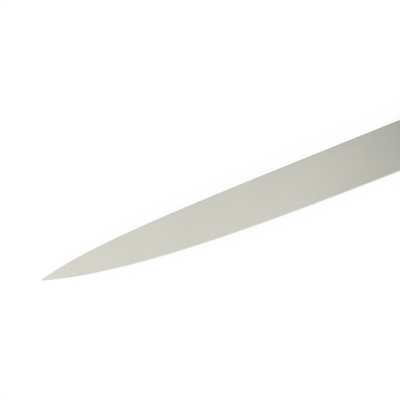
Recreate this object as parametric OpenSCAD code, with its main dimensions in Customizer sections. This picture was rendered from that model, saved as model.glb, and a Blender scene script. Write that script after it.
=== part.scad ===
// Carving knife with a full tang: a one-piece forging (blade, half bolster and tang), two scales
// and three compression rivets, each a post pressed into a socket.
// The knife lies flat on the right side of its handle: +X runs from the point to the butt,
// +Y from the cutting edge to the spine, +Z out of the left side of the blade.
// The origin is under the middle of the whole knife, on the surface that it lies on.

/* [Blade] */
// Length of the blade from the point to the heel
blade_l = 254; // [180:1:300]
// Height of the blade at the heel
blade_h = 30; // [26:0.5:38]
// Drop of the point below the straight line of the spine
tip_drop = 9.5; // [5:0.1:14]
// Run over which the spine straightens out behind the point
spine_sweep = 41; // [20:1:60]
// Run over which the cutting edge straightens out behind the point
belly_sweep = 68; // [40:1:90]
// Length lost to the rounding of the point
point_blunt = 0.8; // [0.4:0.1:2]
// Thickness of the spine at the heel
spine_t = 2.3; // [2:0.1:3]
// Thickness that the spine tapers to at the point
point_t = 1; // [0.8:0.1:1.6]
// Run over which the point is thinned away
point_thinning = 6; // [3:0.5:12]
// Thickness of the blade where the sharpened bevel starts
grind_t = 0.4; // [0.3:0.05:0.6]
// Height of the sharpened bevel
bevel_h = 0.65; // [0.4:0.05:1.2]
// Width of the cutting edge
edge_t = 0.05; // [0.04:0.01:0.1]
// Easing of the corners along the spine
spine_ease = 0.15; // [0.1:0.05:0.5]

/* [Bolster] */
// Length from the heel to the front of the scales
bolster_l = 15; // [13:0.5:24]
// Radius of the hollow sweep from the blade out to the bolster
flare_r = 11; // [10:0.5:14]
// Lean of the bolster's front line, in degrees from square
flare_lean = 11; // [0:1:20]
// Length of the curve that rises from the heel to the bolster
choil_l = 8; // [5:0.5:11]

/* [Handle] */
// Length of the scales
handle_l = 116; // [106:1:130]
// Thickness over both scales
handle_t = 18; // [16:0.5:20]
// Thickness of the tang
tang_t = 3.2; // [2.6:0.1:4]
// Rounding of the handle's long edges
edge_round = 5.5; // [3:0.5:6]
// Height of the bolster and of the front of the handle
front_h = 20.5; // [19:0.5:23]
// Rise of the back of the handle above the spine
back_rise = 0.8; // [0:0.1:3]
// Place of that rise, behind the bolster
back_rise_at = 60; // [48:1:72]
// Height of the swell of the grip, below the line of the spine
belly_h = 23.8; // [22:0.2:26]
// Place of the swell, behind the bolster
belly_at = 44; // [36:1:52]
// Height of the waist ahead of the butt, below the line of the spine
waist_h = 22; // [20:0.2:24]
// Place of the waist, ahead of the butt
waist_at = 34; // [30:1:40]
// Height of the hook of the butt, below the line of the spine
hook_h = 26.8; // [25:0.2:29]
// Place of the hook, ahead of the butt
hook_at = 11; // [10:0.5:14]
// Height of the rearmost point of the butt, below the line of the spine
butt_h = 12.5; // [11:0.5:15]
// Length of the fall of the back into the butt
butt_fall_l = 13; // [12:0.5:17]
// Drop of the back where that fall starts
butt_fall_h = 1.4; // [0.6:0.1:2.4]
// Slope of the back where that fall starts, in degrees
butt_fall_slope = 12; // [6:1:16]

/* [Rivets] */
// Diameter of the rivet heads
head_d = 8; // [7:0.1:9]
// Thickness of the rivet heads
head_t = 2.6; // [2:0.1:3.4]
// Outer diameter of the rivet barrels
barrel_d = 5.2; // [4.8:0.1:5.8]
// Diameter of the rivet pins
pin_d = 3.2; // [2.6:0.1:3.6]
// Play between a barrel and its hole in the tang, on the diameter
tang_play = 0.2; // [0.1:0.05:0.4]
// Free room at the end of a pin and of a barrel
end_play = 0.3; // [0.2:0.1:0.6]
// Distance from the bolster to the front rivet
rivet_front_in = 18; // [14:1:22]
// Distance from the butt to the rear rivet
rivet_rear_in = 30; // [26:1:36]
// Height of the rivet line below the line of the spine
rivet_h = 10.8; // [10:0.1:12]

/* [Hidden] */
RIVETS = ["front", "middle", "rear"];
$fn = 64;

steel = "silver";
rivet_steel = "gainsboro";
black = [0.09, 0.09, 0.095];

// Places along X, from the sharp point that the two curves of the blade aim at
scale_x = blade_l + bolster_l;
butt_x = scale_x + handle_l;
choil_x = blade_l + choil_l;
lean = tan(flare_lean);
flare_x = blade_l - lean * blade_h;
flare_rise = (handle_t - spine_t) / 2;
flare_l = sqrt(pow(flare_r, 2) - pow(flare_r - flare_rise, 2));

// Rounding of the long edges, never more than the wall of a scale leaves
wall_min = 0.8;
corner_r = min(edge_round, (handle_t - tang_t) / 2 - wall_min);

// Counts of steps in the curves, and of rows on the flat of the blade
corner_steps = 6;
face_rows = 4;
blade_steps = 26;
flare_steps = 9;
knot_steps = 8;

// Growth of the steps from the point towards the heel, and of the lean of the sections there
step_growth = 1.7;
lean_growth = 3;

// Halvings that find the foot of a leaning section
foot_turns = 40;

// Depth that the tang's root reaches into the bolster, and its margin at the back and belly
root_l = 2;
root_in = 1;

// The blade's two curves, straight behind the heel
function settled(x, sweep) =
    (1 - exp(-min(x, blade_l) / sweep)) / (1 - exp(-blade_l / sweep));
function spine_y(x) = -tip_drop * (1 - settled(x, spine_sweep));
function edge_y(x) = -tip_drop - (blade_h - tip_drop) * settled(x, belly_sweep);

// The whole lower line: cutting edge, hollow rise behind the heel, underside of the bolster
function under_y(x) =
    x <= blade_l ? edge_y(x) :
    x >= choil_x ? -front_h :
    -blade_h + (blade_h - front_h) * sqrt(1 - pow((choil_x - x) / choil_l, 2));

// Half the thickness of the bare blade
function thinning(x) = 1 - exp(-x / point_thinning);
function spine_half(x) = (point_t + (spine_t - point_t) * min(x / blade_l, 1)) / 2 * thinning(x);
function grind_half(x) = grind_t / 2 * thinning(x);
function wedge_half(x, y) =
    let (share = (y - edge_y(x)) / (spine_y(x) - edge_y(x)))
    grind_half(x) + (spine_half(x) - grind_half(x)) * min(max(share, 0), 1);

// Half the thickness of the blade with its bevel and its eased spine
function bevelled_half(x, y, foot_y, bevel) =
    let (share = min((y - foot_y) / bevel, 1))
    edge_t / 2 + (wedge_half(x, foot_y + bevel) - edge_t / 2) * share;
function eased_half(x, y) =
    max(spine_half(x) - max(spine_ease * thinning(x) - (spine_y(x) - y), 0), edge_t / 2);

// Half the thickness of the bolster, a bar with rounded long edges, above its lower line
function bar_half(y, foot_y) =
    let (inside = min(max(min(-y, y - foot_y), 0), corner_r))
    handle_t / 2 - corner_r + sqrt(pow(corner_r, 2) - pow(corner_r - inside, 2));

// Share of the swell reached at a distance behind the flare's front line
function swell(run) =
    let (s = min(max(run, 0), flare_l))
    (flare_r - sqrt(pow(flare_r, 2) - pow(s, 2))) / flare_rise;

function forging_half(x, y, foot_y, bevel, sharp) =
    let (
        bare = min(wedge_half(x, y), eased_half(x, y)),
        thin = sharp && y < foot_y + bevel ? bevelled_half(x, y, foot_y, bevel) : bare
    )
    max(thin, edge_t / 2) + (bar_half(y, foot_y) - thin) * swell(x - flare_x + lean * y);

// Foot of the line that leans back from the top line at x, found by halving the interval
function foot_x(x, slope, low, high, turns = foot_turns) =
    let (middle = (low + high) / 2)
    turns == 0 ? middle :
    middle - x - slope * (spine_y(x) - under_y(middle)) > 0 ?
        foot_x(x, slope, low, middle, turns - 1) :
        foot_x(x, slope, middle, high, turns - 1);

// Distances of the rows from the foot and from the top of a section, on the blade and the bolster.
// On the blade the first rows halve the bevel, and the next ones are a bevel's height apart.
bevel_rows = 2;
function low_row(k) = bevel_h * (k <= bevel_rows ? k / bevel_rows : k - bevel_rows + 1);
function top_row(k) = spine_ease * (pow(2, k) - 1);
function bar_row(k) = corner_r * (1 - cos(90 * k / corner_steps));
function mix(a, b, share) = a + (b - a) * share;

// One section of the forging: a leaning ring of points, up the left face and down the right one
function section(x, slope, sharp, bar) =
    let (
        n = corner_steps,
        foot = foot_x(x, slope, x, x + slope * blade_h + choil_l),
        foot_y = under_y(sharp ? min(foot, blade_l) : foot),
        height = spine_y(x) - foot_y,
        room = low_row(n) + top_row(n) + bevel_h,
        fit = min(height / room, 1),
        low = [for (k = [0:n]) fit * mix(low_row(k), bar_row(k), bar)],
        top = [for (k = [0:n]) height - fit * mix(top_row(k), bar_row(k), bar)],
        face = [for (k = [1:face_rows]) mix(low[n], top[n], k / (face_rows + 1))],
        rise = concat(low, face, [for (k = [n:-1:0]) top[k]]),
        left = [for (h = rise)
            let (y = foot_y + h, px = x + slope * (height - h))
            [px, y, forging_half(px, y, foot_y, bevel_h * fit, sharp)]]
    )
    concat(left, [for (k = [len(left) - 1:-1:0]) [left[k].x, left[k].y, -left[k].z]]);

// Sections of the blade lean more and more, until the last one stands on the heel
blade_rings = [for (k = [0:blade_steps])
    let (share = pow(k / blade_steps, step_growth))
    section(mix(point_blunt, flare_x, share), lean * pow(share, lean_growth), true, 0)];
flare_rings = [for (k = [1:flare_steps])
    let (run = flare_l * k / flare_steps)
    section(flare_x + run, lean, false, k / flare_steps)];
seat_ring = section(scale_x, 0, false, 1);

// Faces of a closed skin over rings of equal length, each end closed by a strip of triangles
function cap_faces(first, last) = concat(
    [for (k = [0:(last - first) / 2]) if (first + k + 1 < last - k)
        [first + k, first + k + 1, last - k]],
    [for (k = [0:(last - first) / 2]) if (first + k + 1 < last - k - 1)
        [first + k + 1, last - k - 1, last - k]]
);
function skin_faces(rings, ring_n) = concat(
    [for (r = [0:rings - 2], k = [0:ring_n - 1])
        [r * ring_n + k, r * ring_n + (k + 1) % ring_n, (r + 1) * ring_n + k]],
    [for (r = [0:rings - 2], k = [0:ring_n - 1])
        [(r + 1) * ring_n + k, r * ring_n + (k + 1) % ring_n, (r + 1) * ring_n + (k + 1) % ring_n]],
    [for (face = cap_faces(0, ring_n - 1)) [face[2], face[1], face[0]]],
    cap_faces((rings - 1) * ring_n, rings * ring_n - 1)
);

module skin(rings) {
    polyhedron(
        points = [for (ring = rings) each ring],
        faces = skin_faces(len(rings), len(rings[0])),
        convexity = 6
    );
}

// Knots of the handle's outline: place along X, height, and heading in degrees
outline_knots = [
    [scale_x, 0, 0],
    [scale_x + back_rise_at, back_rise, 0],
    [butt_x - butt_fall_l, -butt_fall_h, -butt_fall_slope],
    [butt_x, -butt_h, -90],
    [butt_x - hook_at, -hook_h, -180],
    [butt_x - waist_at, -waist_h, -180],
    [scale_x + belly_at, -belly_h, -180],
    [scale_x, -front_h, -180]
];

// Share of the distance between two knots that a curve keeps to a knot's heading
knot_pull = 0.38;

function knot_point(knot) = [knot.x, knot.y];
function knot_arm(knot, length) = length * [cos(knot.z), sin(knot.z)];
function curve_point(a, b, t) =
    let (
        arm = knot_pull * norm(knot_point(b) - knot_point(a)),
        p = knot_point(a),
        q = p + knot_arm(a, arm),
        s = knot_point(b),
        r = s - knot_arm(b, arm)
    )
    pow(1 - t, 3) * p + 3 * pow(1 - t, 2) * t * q + 3 * (1 - t) * t * t * r + pow(t, 3) * s;

handle_outline = concat(
    [for (k = [0:len(outline_knots) - 2], step = [0:knot_steps - 1])
        curve_point(outline_knots[k], outline_knots[k + 1], step / knot_steps)],
    [knot_point(outline_knots[len(outline_knots) - 1])]
);

// The outline drawn in by a distance, with its straight front left where it is
function inward(k) =
    let (
        last = len(handle_outline) - 1,
        along = k == 0 || k == last ?
            [k == 0 ? 1 : -1, 0] :
            handle_outline[k + 1] - handle_outline[k - 1]
    )
    [along.y, -along.x] / norm(along);
function scale_ring(inset, z) = [for (k = [0:len(handle_outline) - 1])
    let (p = handle_outline[k] + inset * inward(k))
    [p.x, p.y, z]];

module forging_blank() {
    skin(concat(blade_rings, flare_rings, [seat_ring]));
    translate([0, 0, -tang_t / 2])
        linear_extrude(tang_t)
            polygon(concat(
                handle_outline,
                [[scale_x - root_l, root_in - front_h], [scale_x - root_l, -root_in]]
            ));
}

// Places of the rivets along the tang
function rivet_x(index) =
    mix(scale_x + rivet_front_in, butt_x - rivet_rear_in, index / (len(RIVETS) - 1));

module at_rivet(index) {
    translate([rivet_x(index), -rivet_h, 0])
        children();
}

// Everything below is drawn round the middle plane of the blade, and then set down flat
function lowest_y() = min(-blade_h, min([for (p = handle_outline) p.y]));
function highest_y() = max([for (p = handle_outline) p.y]);

module lay_down() {
    translate([-(point_blunt + butt_x) / 2, -(lowest_y() + highest_y()) / 2, handle_t / 2])
        children();
}

module blade() {
    color(steel)
        lay_down()
            difference() {
                forging_blank();
                for (index = [0:len(RIVETS) - 1])
                    at_rivet(index)
                        cylinder(h = 2 * tang_t, d = barrel_d + tang_play, center = true);
            }
}

// One scale, over the left face of the tang
module grip_half() {
    difference() {
        skin(concat(
            [scale_ring(0, tang_t / 2)],
            [for (k = [0:corner_steps])
                scale_ring(
                    corner_r * (1 - cos(90 * k / corner_steps)),
                    handle_t / 2 - corner_r * (1 - sin(90 * k / corner_steps))
                )]
        ));
        for (index = [0:len(RIVETS) - 1])
            at_rivet(index) {
                cylinder(h = handle_t, d = barrel_d);
                translate([0, 0, handle_t / 2 - head_t])
                    cylinder(h = 2 * head_t, d = head_d);
            }
    }
}

module scale_left() {
    color(black)
        lay_down()
            grip_half();
}

module scale_right() {
    color(black)
        lay_down()
            mirror([0, 0, 1])
                grip_half();
}

// Post: a head in the left scale, and the pin that is pressed into the barrel
module rivet_post(index) {
    color(rivet_steel)
        lay_down()
            at_rivet(index) {
                translate([0, 0, handle_t / 2 - head_t])
                    cylinder(h = head_t, d = head_d);
                translate([0, 0, -handle_t / 2 + head_t + end_play])
                    cylinder(h = handle_t - 2 * head_t - end_play, d = pin_d);
            }
}

// Socket: a head in the right scale, and the barrel that passes through the tang
module rivet_socket(index) {
    color(rivet_steel)
        lay_down()
            at_rivet(index) {
                translate([0, 0, -handle_t / 2])
                    cylinder(h = head_t, d = head_d);
                difference() {
                    translate([0, 0, -handle_t / 2])
                        cylinder(h = handle_t - head_t - end_play, d = barrel_d);
                    translate([0, 0, -handle_t / 2 + head_t])
                        cylinder(h = handle_t, d = pin_d);
                }
            }
}

blade();
scale_left();
scale_right();
for (index = [0:len(RIVETS) - 1]) {
    rivet_post(index);
    rivet_socket(index);
}
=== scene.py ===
import math

import bmesh
import bpy
from mathutils import Matrix, Vector


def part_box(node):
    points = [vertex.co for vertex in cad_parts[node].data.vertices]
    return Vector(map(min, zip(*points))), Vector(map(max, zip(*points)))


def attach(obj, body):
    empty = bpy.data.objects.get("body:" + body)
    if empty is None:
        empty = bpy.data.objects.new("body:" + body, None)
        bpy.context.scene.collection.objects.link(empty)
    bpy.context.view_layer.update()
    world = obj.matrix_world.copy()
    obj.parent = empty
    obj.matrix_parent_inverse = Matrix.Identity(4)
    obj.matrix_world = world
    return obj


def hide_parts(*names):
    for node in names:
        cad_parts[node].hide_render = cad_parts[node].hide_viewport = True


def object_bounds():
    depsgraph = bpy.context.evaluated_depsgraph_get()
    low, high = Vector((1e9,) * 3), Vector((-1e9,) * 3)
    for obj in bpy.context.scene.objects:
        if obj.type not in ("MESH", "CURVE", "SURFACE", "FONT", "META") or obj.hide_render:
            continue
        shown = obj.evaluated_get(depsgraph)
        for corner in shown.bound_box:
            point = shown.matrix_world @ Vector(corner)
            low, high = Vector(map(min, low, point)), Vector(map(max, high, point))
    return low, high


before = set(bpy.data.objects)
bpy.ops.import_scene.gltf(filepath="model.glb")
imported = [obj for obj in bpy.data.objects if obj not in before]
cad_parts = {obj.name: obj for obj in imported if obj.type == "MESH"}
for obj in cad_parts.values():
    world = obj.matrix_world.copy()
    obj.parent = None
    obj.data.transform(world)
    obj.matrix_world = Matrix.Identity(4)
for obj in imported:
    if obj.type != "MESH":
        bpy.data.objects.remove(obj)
cad_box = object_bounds()

# A carving knife that lies on the right side of its handle, on a pale floor.
# Shapes are worked out in millimetres in the knife's own axes. +X runs to the butt, from the sharp
# point that the two curves of the blade aim at. +Y runs from the cutting edge to the straight line
# of the spine, and Z = 0 is the middle plane. set_down() moves the shapes into the frame, in metres.

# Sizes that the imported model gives
MM = 0.001
FORGING_LOW, FORGING_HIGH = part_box("blade")
GRIP_LOW, GRIP_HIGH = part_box("scale_left")
FAR_GRIP_LOW, FAR_GRIP_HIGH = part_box("scale_right")
RIVETS = ["front", "middle", "rear"]
HANDLE_L = (GRIP_HIGH.x - GRIP_LOW.x) / MM
HANDLE_T = (GRIP_HIGH.z - FAR_GRIP_LOW.z) / MM
TANG_T = (GRIP_LOW.z - FAR_GRIP_HIGH.z) / MM

# Blade
BLADE_L = 254
BLADE_H = 30
TIP_DROP = 9.5
SPINE_SWEEP = 41
BELLY_SWEEP = 68
SPINE_T = 2.3
POINT_T = 1
POINT_THINNING = 6
GRIND_T = 0.4
BEVEL_H = 0.65
EDGE_T = 0.05
SPINE_EASE = 0.15

# Point: where it ends, the length that rounds it off, and the share of a ring that is left there
POINT_BLUNT = 0.8
POINT_ROUND = 0.4
POINT_LEFT = 0.02

# Height of blade that a full bevel needs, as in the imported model: nearer the point, it narrows
PACKED_ROWS = 6
BEVEL_ROOM = PACKED_ROWS * BEVEL_H + (2**PACKED_ROWS - 1) * SPINE_EASE

# Bolster
BOLSTER_L = 15
FLARE_R = 11
FLARE_ANGLE = 11
FLARE_LEAN = math.tan(math.radians(FLARE_ANGLE))
CHOIL_L = 8
CREST_EASE = 0.12

# Handle
CORNER_R = 5.5
FRONT_H = 20.5
BACK_RISE = 0.8
BACK_RISE_AT = 60
BELLY_H = 23.8
BELLY_AT = 44
WAIST_H = 22
WAIST_AT = 34
HOOK_H = 26.8
HOOK_AT = 11
BUTT_H = 12.5
BUTT_FALL_L = 13
BUTT_FALL_H = 1.4
BUTT_FALL_SLOPE = 12
KNOT_PULL = 0.38

# Chamfer of the seams, and the lesser and the greater share in the two ways that its rings face
SEAM = 0.12
FACING_LESS = 0.3
FACING_MORE = 0.95

# Distance from a scale's rounded edge to the ring on its flat that keeps the flat's shading even
SUPPORT = 0.5

# Root of the tang: its length in the bolster, its margin there and where it comes out
ROOT_L = 2
ROOT_IN = 1
ROOT_TUCK = 0.01

# Rivets
HEAD_T = 2.6
BARREL_D = 5.2
PIN_D = 3.2
TANG_PLAY = 0.2
END_PLAY = 0.3
RIM = 0.1
LEAD_IN = 0.4

# How far the tool for a scale's holes reaches past the scale
TOOL_PAST = 1

# Places along X
SCALE_X = BLADE_L + BOLSTER_L
BUTT_X = SCALE_X + HANDLE_L
CHOIL_X = BLADE_L + CHOIL_L
FLARE_X = BLADE_L - FLARE_LEAN * BLADE_H
FLARE_RISE = (HANDLE_T - SPINE_T) / 2
FLARE_L = math.sqrt(FLARE_R**2 - (FLARE_R - FLARE_RISE) ** 2)
ORIGIN = Vector((
    GRIP_LOW.x - SCALE_X * MM,
    FORGING_LOW.y + BLADE_H * MM,
    (FORGING_LOW.z + FORGING_HIGH.z) / 2,
))

# Counts of steps in the curves
BEVEL_ROWS = 2
EASE_ROWS = 4
ROUND_STEPS = 12
FACE_ROWS = 10
BLADE_STEPS = 170
FLARE_STEPS = 44
KNOT_STEPS = 21
LATHE_STEPS = 96

# Halvings that find the foot of a leaning section
FOOT_TURNS = 40

# Growth of the steps from the point to the heel, and of the lean of the sections there
STEP_GROWTH = 1.6
LEAN_GROWTH = 3

# Growth of the steps from the flare's crest to its front, and how far they run past the crest
CREST_GROWTH = 1.5
PAST_CREST = 0.7

# Share of a section's height that its lower and its upper rows take up
LOW_SHARE = 0.42
TOP_SHARE = 0.3

# Edges that turn by more than this are drawn as edges
SHARP_ANGLE = math.radians(28)

# Points nearer to each other than this are one point
SAME_POINT = 0.0001

# Finishes of the forging, in the order of its materials. The one on the edge bevel has a paler
# colour, a painted sheen.
SATIN, HONED_WITH_PAINTED_SHEEN, LINISHED = range(3)

# The photograph: the place on the knife at its middle, and how the knife lies in it
PHOTO_MIDDLE = (112.3, 0.1)
PHOTO_WIDTH = 251
SPINE_ANGLE = 21.885
LENS = 100
SENSOR = 36

# Noise: the range that most of its values lie in, and its usual and its finer detail
NOISE_RANGE = (0.3, 0.7)
NOISE_DETAIL = 2
FINE_DETAIL = 3

# Steel: colours, roughness, and depth of the ground lines in millimetres
STEEL = (0.75, 0.74, 0.67)
# The edge bevel's steel is the same steel painted paler: a painted sheen along the edge. Its
# roughness is its real finish.
HONED_STEEL_PAINTED_SHEEN = (0.87, 0.865, 0.82)
RIVET_STEEL = (0.74, 0.735, 0.71)
BLADE_ROUGHNESS = 0.23
HONED_ROUGHNESS = 0.22
BOLSTER_ROUGHNESS = 0.22
RIVET_ROUGHNESS = 0.28
BLADE_LINES = 0.0006
BOLSTER_LINES = 0.0005
RIVET_LINES = 0.0008

# Steel: how far lines, streaks and clouds change the tone and the roughness
STEEL_TONES = (0.95, 1.05)
LINE_ROUGHNESS = 0.03
CLOUD_ROUGHNESS = 0.02
STREAK_SHARE = 0.3

# Steel: scales per metre of the lines and the streaks, across and along the knife, and of clouds
ACROSS = ((9000, 110, 9000), (2600, 30, 2600))
ALONG = ((110, 9000, 9000), (25, 900, 900))
STEEL_CLOUD = (28, 28, 28)

# Plastic: colours, scales per metre of its patterns, their depth, and roughness by flatness
PLASTIC_DARK = (0.015, 0.015, 0.016, 1)
PLASTIC_PALE = (0.022, 0.022, 0.024, 1)
PLASTIC_GLOSS = 0.5
PLASTIC_GRAIN = (2600, 2600, 2600)
PLASTIC_BUFFING = (160, 5200, 5200)
PLASTIC_CLOUD = (60, 60, 60)
PLASTIC_DEPTH = 0.0012
PLASTIC_FLATNESS = (0.5, 0.98)
PLASTIC_ROUGHNESS = (0.3, 0.38)
BUFFING_ROUGHNESS = 0.05

WHITE = (1, 1, 1, 1)

# Floor, in metres. Rays shorter than the contact length pass through it.
FLOOR_SIZE = 6
FLOOR_DROP = 0.0001
FLOOR_CONTACT = 0.001
FLOOR_DARK = (0.88, 0.88, 0.88, 1)
FLOOR_PALE = (0.92, 0.92, 0.92, 1)
FLOOR_GRAIN = (400, 400, 400)
FLOOR_WHITE = 0.86
FLOOR_GLOW = 1.07

# Soft box overhead: its two edges run square to these directions, and fade over these ranges
BOX_TO_POINT = (-0.99, -0.16, 0)
BOX_TO_POINT_FADE = (-0.2, -0.14)
BOX_TO_EDGE = (-0.36, -0.93, 0)
BOX_TO_EDGE_FADE = (-0.386, 0.146)
BOX_BRIGHT = (0.945, 0.94, 0.935, 1)
BOX_DIM = (0.24, 0.27, 0.26, 1)

# Horizon round the box, and the height where it gives way to the box
HORIZON_TO = (-0.75, -0.66, 0)
HORIZON_FADE = (-0.8, 0.8)
HORIZON_BRIGHT = (0.68, 0.68, 0.68, 1)
HORIZON_DIM = (0.45, 0.45, 0.45, 1)
OVERHEAD = (0, 0, 1)
OVERHEAD_FADE = (0.72, 0.9)

# Lamps: name, place in metres and power in watts
LAMP_SIZE = 0.7
LAMPS = [
    ("key_lamp", (-0.9, -0.35, 0.95), 1.1),
    ("fill_lamp", (0.9, 0.35, 0.95), 0.9),
]


def mix(a, b, share):
    return a + (b - a) * share


def clamp(value, low, high):
    return min(max(value, low), high)


# Camera, straight above the blade


def make_camera():
    camera = bpy.data.objects.new("camera", bpy.data.cameras.new("camera"))
    camera.data.lens = LENS
    camera.data.sensor_width = SENSOR
    distance = PHOTO_WIDTH * LENS / SENSOR
    camera.location = ORIGIN + Vector((*PHOTO_MIDDLE, distance)) * MM
    camera.rotation_euler = (0, 0, -math.radians(SPINE_ANGLE))
    bpy.context.scene.collection.objects.link(camera)
    bpy.context.scene.camera = camera


# Nodes of a material or of the world


def add_node(tree, kind, settings=None, **inputs):
    """A node with its settings and inputs. An input is a value, or the socket that feeds it.
    Inputs are given by name, or by number as _0, _1 and so on."""
    node = tree.nodes.new(kind)
    for key, value in (settings or {}).items():
        setattr(node, key, value)
    for key, value in inputs.items():
        at = int(key[1:]) if key[1:].isdigit() else key.replace("_", " ")
        socket = node.inputs[at]
        if isinstance(value, bpy.types.NodeSocket):
            tree.links.new(value, socket)
        else:
            socket.default_value = value
    return node


def calculated(tree, operation, *values):
    """Result of a math node."""
    inputs = {f"_{k}": value for k, value in enumerate(values)}
    return add_node(tree, "ShaderNodeMath", {"operation": operation}, **inputs).outputs["Value"]


def mapped(tree, value, before, after, kind="LINEAR"):
    """A value moved from one range to another and kept inside it."""
    return add_node(
        tree, "ShaderNodeMapRange", {"interpolation_type": kind}, Value=value,
        From_Min=before[0], From_Max=before[1], To_Min=after[0], To_Max=after[1],
    ).outputs["Result"]


def mixed_colour(tree, share, low, high):
    """The low colour where the share is 0, and the high one where it is 1."""
    return add_node(
        tree, "ShaderNodeMix", {"data_type": "RGBA"}, Factor=share, _6=low, _7=high
    ).outputs[2]


def mixed_shader(tree, share, low, high):
    """The low shader where the share is 0, and the high one where it is 1."""
    return add_node(tree, "ShaderNodeMixShader", Fac=share, _1=low, _2=high).outputs[0]


def stretched_noise(tree, scales, detail=NOISE_DETAIL):
    """Noise over the piece's own coordinates, with its own scale along each axis, per metre."""
    place = add_node(tree, "ShaderNodeTexCoord").outputs["Object"]
    scaled = add_node(tree, "ShaderNodeMapping", Vector=place, Scale=scales).outputs["Vector"]
    return add_node(
        tree, "ShaderNodeTexNoise", Vector=scaled, Scale=1.0, Detail=detail
    ).outputs["Fac"]


def spread(tree, noise, low, high):
    """Noise spread over a whole range."""
    return mapped(tree, noise, NOISE_RANGE, (low, high))


# Materials


def new_material(name, metallic):
    """A material with its node tree and its shader."""
    material = bpy.data.materials.new(name)
    material.use_nodes = True
    tree = material.node_tree
    shader = tree.nodes["Principled BSDF"]
    shader.inputs["Metallic"].default_value = metallic
    return material, tree, shader


def feed(tree, shader, tone, roughness, height, depth):
    """Gives the shader its colour, its roughness, and a relief with its depth in millimetres."""
    bump = add_node(tree, "ShaderNodeBump", Strength=1.0, Distance=depth * MM, Height=height)
    tree.links.new(tone, shader.inputs["Base Color"])
    tree.links.new(roughness, shader.inputs["Roughness"])
    tree.links.new(bump.outputs["Normal"], shader.inputs["Normal"])


def ground_steel(name, colour, roughness, grain, line_depth):
    """Steel with ground lines. The grain is the scale of its fine lines and of wider streaks."""
    material, tree, shader = new_material(name, 1.0)
    fine = stretched_noise(tree, grain[0], FINE_DETAIL)
    wide = stretched_noise(tree, grain[1])
    cloud = stretched_noise(tree, STEEL_CLOUD, FINE_DETAIL)
    pattern = add_node(tree, "ShaderNodeMix", Factor=STREAK_SHARE, A=fine, B=wide).outputs["Result"]
    darker, paler = [(*[c * tone for c in colour], 1) for tone in STEEL_TONES]
    tone = mixed_colour(tree, spread(tree, pattern, 0.0, 1.0), darker, paler)
    rough_lines = spread(tree, fine, -LINE_ROUGHNESS, LINE_ROUGHNESS)
    rough_cloud = spread(tree, cloud, roughness - CLOUD_ROUGHNESS, roughness + CLOUD_ROUGHNESS)
    rough = calculated(tree, "ADD", rough_lines, rough_cloud)
    feed(tree, shader, tone, rough, fine, line_depth)
    return material


def black_plastic():
    """Black moulded plastic, buffed along the handle, with its rounded edges the smoothest."""
    material, tree, shader = new_material("black_plastic", 0.0)
    shader.inputs["Specular IOR Level"].default_value = PLASTIC_GLOSS
    grain = stretched_noise(tree, PLASTIC_GRAIN)
    buffing = stretched_noise(tree, PLASTIC_BUFFING)
    cloud = stretched_noise(tree, PLASTIC_CLOUD, FINE_DETAIL)
    tone = mixed_colour(tree, spread(tree, cloud, 0.0, 1.0), PLASTIC_DARK, PLASTIC_PALE)
    normal = add_node(tree, "ShaderNodeNewGeometry").outputs["Normal"]
    upward = add_node(tree, "ShaderNodeSeparateXYZ", Vector=normal).outputs["Z"]
    flatness = calculated(tree, "ABSOLUTE", upward)
    base = mapped(tree, flatness, PLASTIC_FLATNESS, PLASTIC_ROUGHNESS)
    rough_lines = spread(tree, buffing, -BUFFING_ROUGHNESS, BUFFING_ROUGHNESS)
    rough = calculated(tree, "ADD", rough_lines, base)
    height = calculated(tree, "ADD", grain, buffing)
    feed(tree, shader, tone, rough, height, PLASTIC_DEPTH)
    return material


# Floor, world and lamps


def make_floor():
    """A white floor that keeps the shadow, and that can't be seen from below."""
    half = FLOOR_SIZE / 2
    level = cad_box[0].z - FLOOR_DROP
    corners = [(-half, -half), (half, -half), (half, half), (-half, half)]
    mesh = bpy.data.meshes.new("floor")
    mesh.from_pydata([(x, y, level) for x, y in corners], [], [(0, 1, 2, 3)])
    floor = bpy.data.objects.new("floor", mesh)
    bpy.context.scene.collection.objects.link(floor)
    material = bpy.data.materials.new("pale_floor")
    material.use_nodes = True
    tree = material.node_tree
    tree.nodes.clear()
    path = add_node(tree, "ShaderNodeLightPath").outputs
    below = add_node(tree, "ShaderNodeNewGeometry").outputs["Backfacing"]
    contact = calculated(tree, "LESS_THAN", path["Ray Length"], FLOOR_CONTACT)
    hidden = calculated(tree, "MAXIMUM", below, contact)
    grain = stretched_noise(tree, FLOOR_GRAIN, FINE_DETAIL)
    pale = mixed_colour(tree, grain, FLOOR_DARK, FLOOR_PALE)
    matte = add_node(tree, "ShaderNodeBsdfDiffuse", Color=pale).outputs[0]
    white = add_node(tree, "ShaderNodeEmission", Color=WHITE, Strength=FLOOR_GLOW).outputs[0]
    share = calculated(tree, "MULTIPLY", path["Is Camera Ray"], FLOOR_WHITE)
    lit = mixed_shader(tree, share, matte, white)
    clear = add_node(tree, "ShaderNodeBsdfTransparent").outputs[0]
    seen = mixed_shader(tree, hidden, lit, clear)
    add_node(tree, "ShaderNodeOutputMaterial", Surface=seen)
    mesh.materials.append(material)


def soft_edge(tree, direction, towards, fade, kind="SMOOTHSTEP"):
    """Share, from 0 to 1, of an area of light whose edge runs square to a direction."""
    reach = add_node(
        tree, "ShaderNodeVectorMath", {"operation": "DOT_PRODUCT"}, _0=direction, _1=towards
    ).outputs["Value"]
    return mapped(tree, reach, fade, (0, 1), kind)


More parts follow.
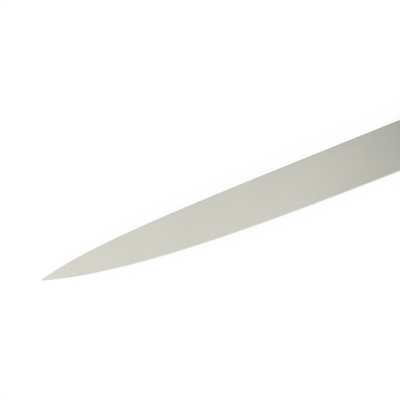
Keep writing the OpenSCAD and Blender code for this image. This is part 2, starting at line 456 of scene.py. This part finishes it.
def make_world():
    """White behind everything. As light, a soft box overhead with two soft edges, over a horizon."""
    world = bpy.data.worlds.new("studio")
    bpy.context.scene.world = world
    world.use_nodes = True
    tree = world.node_tree
    tree.nodes.clear()
    direction = add_node(tree, "ShaderNodeTexCoord").outputs["Generated"]
    to_point = soft_edge(tree, direction, BOX_TO_POINT, BOX_TO_POINT_FADE)
    to_edge = soft_edge(tree, direction, BOX_TO_EDGE, BOX_TO_EDGE_FADE)
    inside = calculated(tree, "MULTIPLY", to_point, to_edge)
    box = mixed_colour(tree, inside, BOX_DIM, BOX_BRIGHT)
    side = soft_edge(tree, direction, HORIZON_TO, HORIZON_FADE, "LINEAR")
    horizon = mixed_colour(tree, side, HORIZON_DIM, HORIZON_BRIGHT)
    overhead = soft_edge(tree, direction, OVERHEAD, OVERHEAD_FADE)
    light = mixed_colour(tree, overhead, horizon, box)
    glow = add_node(tree, "ShaderNodeBackground", Color=light, Strength=1.0).outputs[0]
    white = add_node(tree, "ShaderNodeBackground", Color=WHITE, Strength=1.0).outputs[0]
    rays = add_node(tree, "ShaderNodeLightPath").outputs["Is Camera Ray"]
    shown = mixed_shader(tree, rays, glow, white)
    add_node(tree, "ShaderNodeOutputWorld", Surface=shown)


def make_lamps():
    """Round soft lamps that face the middle of the knife."""
    for name, place, power in LAMPS:
        lamp = bpy.data.objects.new(name, bpy.data.lights.new(name, "AREA"))
        lamp.data.shape = "DISK"
        lamp.data.size = LAMP_SIZE
        lamp.data.energy = power
        lamp.location = place
        lamp.rotation_euler = (-Vector(place)).to_track_quat("-Z", "Y").to_euler()
        bpy.context.scene.collection.objects.link(lamp)


# The curves of the forging


def settled(x, sweep):
    """Share of its way to the straight that a curve of the blade has gone at x."""
    return (1 - math.exp(-min(x, BLADE_L) / sweep)) / (1 - math.exp(-BLADE_L / sweep))


def spine_y(x):
    return -TIP_DROP * (1 - settled(x, SPINE_SWEEP))


def edge_y(x):
    return -TIP_DROP - (BLADE_H - TIP_DROP) * settled(x, BELLY_SWEEP)


def under_y(x):
    """The whole lower line: cutting edge, hollow rise behind the heel, underside of the bolster."""
    if x <= BLADE_L:
        return edge_y(x)
    if x >= CHOIL_X:
        return -FRONT_H
    return -BLADE_H + (BLADE_H - FRONT_H) * math.sqrt(1 - ((CHOIL_X - x) / CHOIL_L) ** 2)


def bevel_height(height):
    """Height of the bevel where the blade has this height."""
    return BEVEL_H * min(height / BEVEL_ROOM, 1)


def thinning(x):
    """Share of its thickness that the blade has at x: it thins away at the point."""
    return 1 - math.exp(-x / POINT_THINNING)


def spine_half(x):
    return mix(POINT_T, SPINE_T, min(x / BLADE_L, 1)) / 2 * thinning(x)


def rounded(radius, depth):
    """How far a round edge draws a face in, at a depth below the edge."""
    left = radius - clamp(depth, 0, radius)
    return radius - math.sqrt(radius**2 - left**2)


def wedge_half(x, y):
    """Half the thickness of the blade, a wedge from its spine down to the bevel."""
    share = (y - edge_y(x)) / (spine_y(x) - edge_y(x))
    return mix(GRIND_T / 2 * thinning(x), spine_half(x), clamp(share, 0, 1))


def bar_half(y, foot_y):
    """Half the thickness of the bolster, a bar with rounded long edges, above its lower line."""
    return HANDLE_T / 2 - rounded(CORNER_R, min(-y, y - foot_y))


def behind_flare(x, y):
    """Distance behind the leaning front line of the flare, along X."""
    return x - FLARE_X + FLARE_LEAN * y


def swell(run):
    """Share of the bolster's thickness at a distance behind the front line of its flare."""
    run = clamp(run, 0, FLARE_R)
    rise = (FLARE_R - math.sqrt(FLARE_R**2 - run**2)) / FLARE_RISE
    near = max(CREST_EASE - abs(rise - 1), 0) / CREST_EASE
    return min(rise, 1) - near**2 * CREST_EASE / 4


def forging_half(x, y, foot_y, bevel):
    """Half the thickness of the forging. The bevel's height is 0 behind the heel."""
    ease = SPINE_EASE * thinning(x)
    thin = wedge_half(x, y) - rounded(ease, spine_y(x) - y)
    if y < foot_y + bevel:
        thin = mix(EDGE_T / 2, wedge_half(x, foot_y + bevel), (y - foot_y) / bevel)
    thin = max(thin, EDGE_T / 2)
    return mix(thin, bar_half(y, foot_y), swell(behind_flare(x, y)))


def foot_x(x, slope):
    """Foot of the line that leans back from the top line at x, found by halving the interval."""
    low, high = x, x + slope * BLADE_H + CHOIL_L
    for _ in range(FOOT_TURNS):
        middle = (low + high) / 2
        if middle - x - slope * (spine_y(x) - under_y(middle)) > 0:
            high = middle
        else:
            low = middle
    return (low + high) / 2


def round_row(k):
    """Distance from a rounded long edge's end to its row k."""
    return CORNER_R * (1 - math.cos(math.pi / 2 * k / ROUND_STEPS))


def low_rows(height, bevel, bar):
    """Distances of the lower rows from the foot of a section, on the blade and on the bolster."""
    rows = []
    for k in range(ROUND_STEPS + 1):
        if k <= BEVEL_ROWS:
            on_blade = bevel * k / BEVEL_ROWS
        else:
            beyond = (k - BEVEL_ROWS) / (ROUND_STEPS - BEVEL_ROWS)
            on_blade = mix(bevel, LOW_SHARE * height, beyond)
        rows.append(mix(on_blade, round_row(k), bar))
    return rows


def top_rows(height, ease, bar):
    """Distances of the upper rows from the top of a section."""
    rows = []
    for k in range(ROUND_STEPS + 1):
        eased = ease * (1 - math.cos(math.pi / 2 * min(k / EASE_ROWS, 1)))
        beyond = (max(k - EASE_ROWS, 0) / (ROUND_STEPS - EASE_ROWS)) ** 2
        on_blade = mix(eased, TOP_SHARE * height, beyond)
        rows.append(mix(on_blade, round_row(k), bar))
    return rows


def section(x, slope, sharp, bar, slim=1.0):
    """One ring of the forging, up its left face and down its right one. It leans back by the slope
    from its top at x. Sharp rings have the bevel, bar is the share that the bolster's rows have in
    the ring's own, and slim draws in the rings that round off the point."""
    foot = foot_x(x, slope)
    foot_y = under_y(min(foot, BLADE_L) if sharp else foot)
    height = spine_y(x) - foot_y
    bevel = bevel_height(height)
    low = low_rows(height, bevel, bar)
    top = [height - row for row in reversed(top_rows(height, SPINE_EASE * thinning(x), bar))]
    face = [mix(low[-1], top[0], (k + 1) / (FACE_ROWS + 1)) for k in range(FACE_ROWS)]
    left = []
    for h in low + face + top:
        y = foot_y + h
        px = x + slope * (height - h)
        half = forging_half(px, y, foot_y, bevel if sharp else 0)
        left.append((px, mix(foot_y + height / 2, y, slim), half * slim))
    return left + [(px, y, -z) for px, y, z in reversed(left)]


def point_slim(x):
    """Share of a ring's size that is left where the point is rounded off."""
    share = clamp((x - POINT_BLUNT) / POINT_ROUND, POINT_LEFT, 1)
    return math.sqrt(1 - (1 - share) ** 2)


def flare_runs():
    """Distances of the rings behind the flare's front line, closest together at the crest."""
    length = FLARE_L + PAST_CREST
    shares = [k / FLARE_STEPS for k in range(1, FLARE_STEPS + 1)]
    return [length * (1 - (1 - share) ** CREST_GROWTH) for share in shares]


def drawn_in(point):
    """A point on the seat's outline, moved in by the depth of the seam's chamfer."""
    x, y, z = point
    corner_y = clamp(y, CORNER_R - FRONT_H, -CORNER_R)
    flat = HANDLE_T / 2 - CORNER_R
    corner_z = clamp(z, -flat, flat)
    away = Vector((0, y - corner_y, z - corner_z))
    if away.length < SEAM:
        return point
    return tuple(Vector(point) - away.normalized() * SEAM)


def forging_rings():
    """Rings of the forging from its point to the seat of the scales."""
    rings = []
    for k in range(BLADE_STEPS + 1):
        share = (k / BLADE_STEPS) ** STEP_GROWTH
        x = mix(POINT_BLUNT, FLARE_X, share)
        slope = FLARE_LEAN * share**LEAN_GROWTH
        rings.append(section(x, slope, True, 0, point_slim(x)))
    runs = flare_runs()
    for run in runs:
        rings.append(section(FLARE_X + run, FLARE_LEAN, False, run / runs[-1]))
    rings.append(section(SCALE_X - SEAM, 0, False, 1))
    rings.append([drawn_in(p) for p in section(SCALE_X, 0, False, 1)])
    return rings


# The outline of the handle


def outline_knots():
    """Knots of the outline: place, and heading in degrees."""
    return [
        (SCALE_X, 0, 0),
        (SCALE_X + BACK_RISE_AT, BACK_RISE, 0),
        (BUTT_X - BUTT_FALL_L, -BUTT_FALL_H, -BUTT_FALL_SLOPE),
        (BUTT_X, -BUTT_H, -90),
        (BUTT_X - HOOK_AT, -HOOK_H, -180),
        (BUTT_X - WAIST_AT, -WAIST_H, -180),
        (SCALE_X + BELLY_AT, -BELLY_H, -180),
        (SCALE_X, -FRONT_H, -180),
    ]


def outline_point(a, b, t):
    """Point on the smooth curve from knot a to knot b."""
    p = Vector(a[:2])
    s = Vector(b[:2])
    arm = KNOT_PULL * (s - p).length
    q = p + arm * Vector((math.cos(math.radians(a[2])), math.sin(math.radians(a[2]))))
    r = s - arm * Vector((math.cos(math.radians(b[2])), math.sin(math.radians(b[2]))))
    return (1 - t) ** 3 * p + 3 * (1 - t) ** 2 * t * q + 3 * (1 - t) * t**2 * r + t**3 * s


def handle_outline():
    """Points of the outline, from the back of the seat round the butt to the seat's belly side."""
    knots = outline_knots()
    points = []
    for a, b in zip(knots, knots[1:]):
        points += [outline_point(a, b, step / KNOT_STEPS) for step in range(KNOT_STEPS)]
    return points + [Vector(knots[-1][:2])]


OUTLINE = handle_outline()


def inward(k):
    """Direction from the outline into the handle. The straight front stays where it is."""
    if k == 0:
        return Vector((0, -1))
    if k == len(OUTLINE) - 1:
        return Vector((0, 1))
    along = (OUTLINE[k + 1] - OUTLINE[k - 1]).normalized()
    return Vector((along.y, -along.x))


def inset_outline(inset, z):
    """The outline drawn in by the inset, at one height."""
    return [(*(p + inset * inward(k)), z) for k, p in enumerate(OUTLINE)]


def outline_ring(inset, z, out, up):
    """The outline drawn in, at one height, with the seam's chamfer at the front. Out and up are the
    way that the surface faces there, and the two points in front move in against it."""
    ring = inset_outline(inset, z)
    front = []
    for end, turn in ((ring[0], -1), (ring[-1], 1)):
        front.append((SCALE_X, end[1] + turn * out * SEAM, end[2] - up * SEAM))
    ring[0] = (SCALE_X + SEAM, ring[0][1], z)
    ring[-1] = (SCALE_X + SEAM, ring[-1][1], z)
    return [front[0]] + ring + [front[1]]


# Meshes


def skin(rings):
    """Points and faces of a closed skin over rings of equal length, with strips at both ends."""
    count = len(rings[0])
    points = [point for ring in rings for point in ring]
    faces = []
    for r in range(len(rings) - 1):
        for k in range(count):
            a = r * count + k
            b = r * count + (k + 1) % count
            faces.append((a, b, b + count, a + count))
    for first in (0, (len(rings) - 1) * count):
        last = first + count - 1
        for k in range(count // 2 - 1):
            faces.append((first + k, first + k + 1, last - k - 1, last - k))
    return points, faces


def new_piece(name, points, faces, materials):
    """An object with a closed mesh whose faces look outward."""
    mesh = bpy.data.meshes.new(name)
    mesh.from_pydata(points, [], faces)
    for material in materials:
        mesh.materials.append(material)
    turned = bmesh.new()
    turned.from_mesh(mesh)
    bmesh.ops.remove_doubles(turned, verts=turned.verts, dist=SAME_POINT)
    bmesh.ops.recalc_face_normals(turned, faces=turned.faces)
    turned.to_mesh(mesh)
    turned.free()
    piece = bpy.data.objects.new(name, mesh)
    bpy.context.scene.collection.objects.link(piece)
    return piece


def combine(piece, tool, operation):
    """Joins the tool to the piece, or cuts it out of the piece, and deletes the tool."""
    modifier = piece.modifiers.new("combine", "BOOLEAN")
    modifier.operation = operation
    modifier.solver = "EXACT"
    modifier.object = tool
    depsgraph = bpy.context.evaluated_depsgraph_get()
    result = bpy.data.meshes.new_from_object(piece.evaluated_get(depsgraph))
    piece.modifiers.clear()
    piece.data = result
    bpy.data.objects.remove(tool)


def lathe(name, profile, middle, materials):
    """A turned piece round an axis along Z. Profile points are radius and height."""
    x, y = middle
    points = []
    rims = []
    for radius, z in profile:
        count = LATHE_STEPS if radius else 1
        rims.append([len(points) + k for k in range(count)])
        for k in range(count):
            turn = 2 * math.pi * k / LATHE_STEPS
            points.append((x + radius * math.cos(turn), y + radius * math.sin(turn), z))
    faces = []
    for low, high in zip(rims, rims[1:]):
        for k in range(LATHE_STEPS):
            corners = [(low, k), (low, k + 1), (high, k + 1), (high, k)]
            face = [rim[at % len(rim)] for rim, at in corners]
            faces.append(list(dict.fromkeys(face)))
    return new_piece(name, points, faces, materials)


def set_down(piece, slot, *nodes):
    """Shades the piece, moves its mesh into the frame, hangs it under the root and hides the
    imported parts that it stands for.
    """
    mesh = piece.data
    mesh.shade_smooth()
    mesh.set_sharp_from_angle(angle=SHARP_ANGLE)
    marked = bmesh.new()
    marked.from_mesh(mesh)
    for edge in marked.edges:
        if len({face.material_index for face in edge.link_faces}) > 1:
            edge.smooth = False
    marked.to_mesh(mesh)
    marked.free()
    mesh.transform(Matrix.Translation(ORIGIN) @ Matrix.Scale(MM, 4))
    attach(piece, "root")
    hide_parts(*nodes)


# Rivets


def rivet_place(name):
    """Middle of a rivet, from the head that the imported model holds."""
    low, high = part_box("rivet_post_" + name)
    middle = ((low + high) / 2 - ORIGIN) / MM
    return middle.x, middle.y


def head_radius(name):
    low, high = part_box("rivet_post_" + name)
    return (high.x - low.x) / 2 / MM


def make_rivet(name, material):
    """A post from the left side, pressed into a socket from the right side."""
    top = HANDLE_T / 2
    under_head = top - HEAD_T
    end = under_head - END_PLAY
    head = head_radius(name)
    pin = PIN_D / 2
    barrel = BARREL_D / 2
    post = [
        (0, top),
        (head - RIM, top),
        (head, top - RIM),
        (head, under_head),
        (pin, under_head),
        (pin, LEAD_IN - end),
        (pin - LEAD_IN, -end),
        (0, -end),
    ]
    socket = [
        (0, -top),
        (head - RIM, -top),
        (head, RIM - top),
        (head, -under_head),
        (barrel, -under_head),
        (barrel, end - LEAD_IN),
        (barrel - LEAD_IN, end),
        (pin, end),
        (pin, -under_head),
        (0, -under_head),
    ]
    for kind, profile in (("post", post), ("socket", socket)):
        node = f"rivet_{kind}_{name}"
        piece = lathe("finished_" + node, profile, rivet_place(name), [material])
        set_down(piece, "rivet_steel", node)


# Scales


def grip_rings():
    """Rings of the left scale from its seam with the tang to its flat face."""
    flat = HANDLE_T / 2
    seat = TANG_T / 2
    rings = [
        outline_ring(SEAM, seat, FACING_LESS, -FACING_MORE),
        outline_ring(0, seat + SEAM, FACING_MORE, -FACING_LESS),
    ]
    for k in range(ROUND_STEPS + 1):
        turn = math.pi / 2 * k / ROUND_STEPS
        z = flat - CORNER_R * (1 - math.sin(turn))
        rings.append(outline_ring(round_row(k), z, math.cos(turn), math.sin(turn)))
    support = outline_ring(CORNER_R + SUPPORT, flat, 0, 1)
    rings.append([rings[-1][0]] + support[1:-1] + [rings[-1][-1]])
    return rings


def make_grip(node, side, material):
    """One scale with its three stepped rivet holes. The side is 1 for left and -1 for right."""
    rings = [[(x, y, side * z) for x, y, z in ring] for ring in grip_rings()]
    grip = new_piece("finished_" + node, *skin(rings), [material])
    top = HANDLE_T / 2
    barrel = BARREL_D / 2
    for name in RIVETS:
        head = head_radius(name)
        profile = [
            (0, 0),
            (barrel, 0),
            (barrel, top - HEAD_T),
            (head, top - HEAD_T),
            (head, top - RIM),
            (head + RIM + TOOL_PAST, top + TOOL_PAST),
            (0, top + TOOL_PAST),
        ]
        profile = [(radius, side * z) for radius, z in profile]
        combine(grip, lathe("tool", profile, rivet_place(name), []), "DIFFERENCE")
    set_down(grip, "scale_plastic", node)


# Forging


def tang_blank(materials):
    """The tang, with a root that reaches into the bolster."""
    half = TANG_T / 2
    root_x = SCALE_X - ROOT_L
    mouth_x = SCALE_X - 2 * SEAM
    back = [(root_x, -ROOT_IN), (mouth_x, -ROOT_TUCK)]
    belly = [(mouth_x, ROOT_TUCK - FRONT_H), (root_x, ROOT_IN - FRONT_H)]
    rings = []
    for inset, z in ((SEAM, -half), (0, SEAM - half), (0, half - SEAM), (SEAM, half)):
        before = [(x, y, z) for x, y in back]
        after = [(x, y, z) for x, y in belly]
        rings.append(before + inset_outline(inset, z) + after)
    return new_piece("tool", *skin(rings), materials)


def finish_at(x, y):
    """Finish of a face of the forging whose middle lies here. Faces of the edge bevel get the steel
    painted paler, a painted sheen.
    """
    if behind_flare(x, y) > 0:
        return LINISHED
    bevel = bevel_height(spine_y(x) - edge_y(x))
    return HONED_WITH_PAINTED_SHEEN if y < edge_y(x) + bevel else SATIN


def make_forging(materials):
    """Blade, half bolster and tang in one piece, with the rivet holes in the tang."""
    forging = new_piece("finished_blade", *skin(forging_rings()), materials)
    for face in forging.data.polygons:
        face.material_index = finish_at(face.center.x, face.center.y)
    tang = tang_blank(materials)
    for face in tang.data.polygons:
        face.material_index = LINISHED
    combine(forging, tang, "UNION")
    radius = (BARREL_D + TANG_PLAY) / 2
    for name in RIVETS:
        profile = [(0, -TANG_T), (radius, -TANG_T), (radius, TANG_T), (0, TANG_T)]
        combine(forging, lathe("tool", profile, rivet_place(name), []), "DIFFERENCE")
    set_down(forging, "blade_steel", "blade")


# The knife


def make_knife():
    satin = ground_steel("satin_steel", STEEL, BLADE_ROUGHNESS, ACROSS, BLADE_LINES)
    # The edge bevel's steel: ground lines and roughness of a real finish, with a paler colour that
    # is a painted sheen.
    honed_painted_sheen = ground_steel("ground_edge_steel_painted_sheen", HONED_STEEL_PAINTED_SHEEN, HONED_ROUGHNESS, ACROSS, BLADE_LINES)
    linished = ground_steel("polished_steel", STEEL, BOLSTER_ROUGHNESS, ALONG, BOLSTER_LINES)
    rivet = ground_steel("linished_rivet_steel", RIVET_STEEL, RIVET_ROUGHNESS, ALONG, RIVET_LINES)
    plastic = black_plastic()
    make_forging([satin, honed_painted_sheen, linished])
    make_grip("scale_left", 1, plastic)
    make_grip("scale_right", -1, plastic)
    for name in RIVETS:
        make_rivet(name, rivet)


bpy.context.scene.view_settings.view_transform = "Standard"
make_camera()
make_floor()
make_world()
make_lamps()
make_knife()
